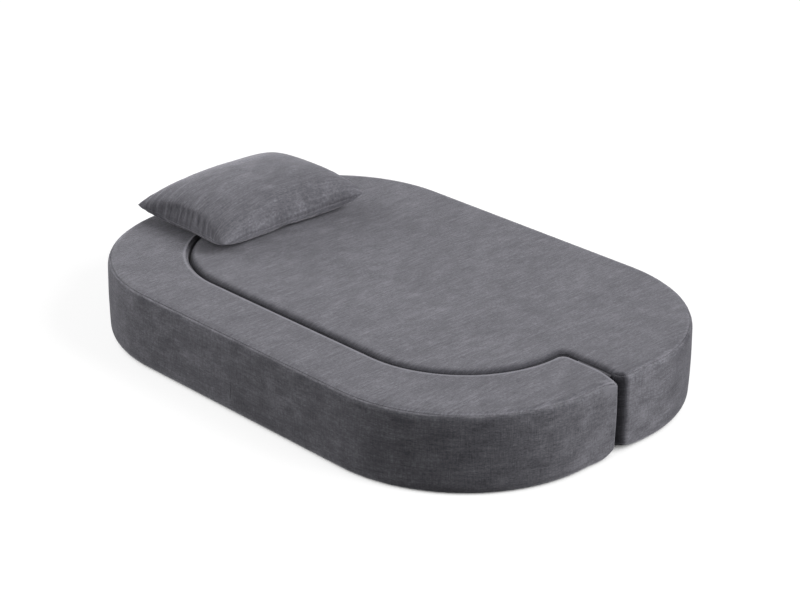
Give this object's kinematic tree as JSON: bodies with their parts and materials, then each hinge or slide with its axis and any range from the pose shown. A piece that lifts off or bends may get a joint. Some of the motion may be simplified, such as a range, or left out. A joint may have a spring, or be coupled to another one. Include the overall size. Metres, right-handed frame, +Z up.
{
  "type": "folding sofa bed",
  "caption": "Low foam sofa bed lying open: a seat block with a rounded tongue inside a curved bolster that flips over on fabric hinges to make arms and back, with a loose pillow.",
  "frame": {"origin": "on the floor, at the middle of the open bed", "axes": "+X along the bed to the right end, +Y from the front, where the bolster lies, to the back of the seat, +Z up"},
  "size_m": [1.8043, 1.2349, 0.3943],
  "materials": {
    "cover_fabric": "heathered short-pile upholstery",
    "pillow_fabric": "heathered short-pile upholstery",
    "hinge_fabric": "folded upholstery fabric",
    "base_fabric": "plain weave with non-slip dots",
    "foam": "open-cell foam",
    "foam_soft": "soft open-cell foam",
    "pillow_fill": "loose fibre",
    "zip_tape": "woven tape",
    "zip_coil": "coil teeth",
    "zip_metal": "dull grey metal"
  },
  "bodies": {
    "seat": {"seat_foam_base": "foam", "seat_foam_topper": "foam_soft", "seat_top_panel": "cover_fabric", "seat_base_panel": "base_fabric", "seat_back_band": "cover_fabric", "seat_tongue_band": "cover_fabric", "seat_cut_panel_left": "cover_fabric", "seat_cut_panel_right": "cover_fabric", "seat_zip_tape": "zip_tape", "seat_zip_chain": "zip_coil", "seat_zip_stop_left": "zip_metal", "seat_zip_stop_right": "zip_metal", "hinge_strip_left": "hinge_fabric", "hinge_strip_right": "hinge_fabric"},
    "seat_zip_slider": {"seat_zip_slider": "zip_metal"},
    "seat_zip_pull": {"seat_zip_pull": "zip_metal"},
    "bolster": {"bolster_foam_core": "foam", "bolster_top_panel": "cover_fabric", "bolster_base_panel": "cover_fabric", "bolster_outer_band_left": "cover_fabric", "bolster_outer_band_right": "cover_fabric", "bolster_inner_band": "cover_fabric", "bolster_end_panel_left": "cover_fabric", "bolster_end_panel_right": "cover_fabric", "bolster_zip_tape": "zip_tape", "bolster_zip_chain": "zip_coil", "bolster_zip_stop_start": "zip_metal", "bolster_zip_stop_end": "zip_metal"},
    "bolster_zip_slider": {"bolster_zip_slider": "zip_metal"},
    "bolster_zip_pull": {"bolster_zip_pull": "zip_metal"},
    "pillow": {"pillow_top_panel": "pillow_fabric", "pillow_bottom_panel": "pillow_fabric", "pillow_fill": "pillow_fill"}
  },
  "joints": [
    {"name": "bolster_flip", "type": "hinge", "parent": "seat", "child": "bolster", "pos_m": [0, 0, 0.246], "axis": [-1, 0, 0], "range_deg": [0, 180], "deforming": ["hinge_strip_left", "hinge_strip_right"]},
    {"name": "pillow_lift", "type": "slide", "parent": "seat", "child": "pillow", "axis": [0, 0, 1], "range_m": [0, 1.51]},
    {"name": "seat_zip_slide", "type": "slide", "parent": "seat", "child": "seat_zip_slider", "axis": [1, 0, 0], "range_m": [0, 0.754]},
    {"name": "seat_pull_swing", "type": "hinge", "parent": "seat_zip_slider", "child": "seat_zip_pull", "pos_m": [-0.3772, 0.6177, 0.042], "axis": [0, 0, -1], "range_deg": [0, 180]},
    {"name": "bolster_zip_slide", "type": "hinge", "parent": "bolster", "child": "bolster_zip_slider", "pos_m": [-0.424, -0.139, 0.042], "axis": [0, 0, 1], "range_deg": [0, 36.9]},
    {"name": "bolster_pull_swing", "type": "hinge", "parent": "bolster_zip_slider", "child": "bolster_zip_pull", "pos_m": [-0.90179, -0.16856, 0.042], "axis": [0, 0, 1], "range_deg": [0, 180]}
  ],
  "couplings": [
    {"joint": "pillow_lift", "follows": "bolster_flip", "m_per_rad": 0.48}
  ]
}
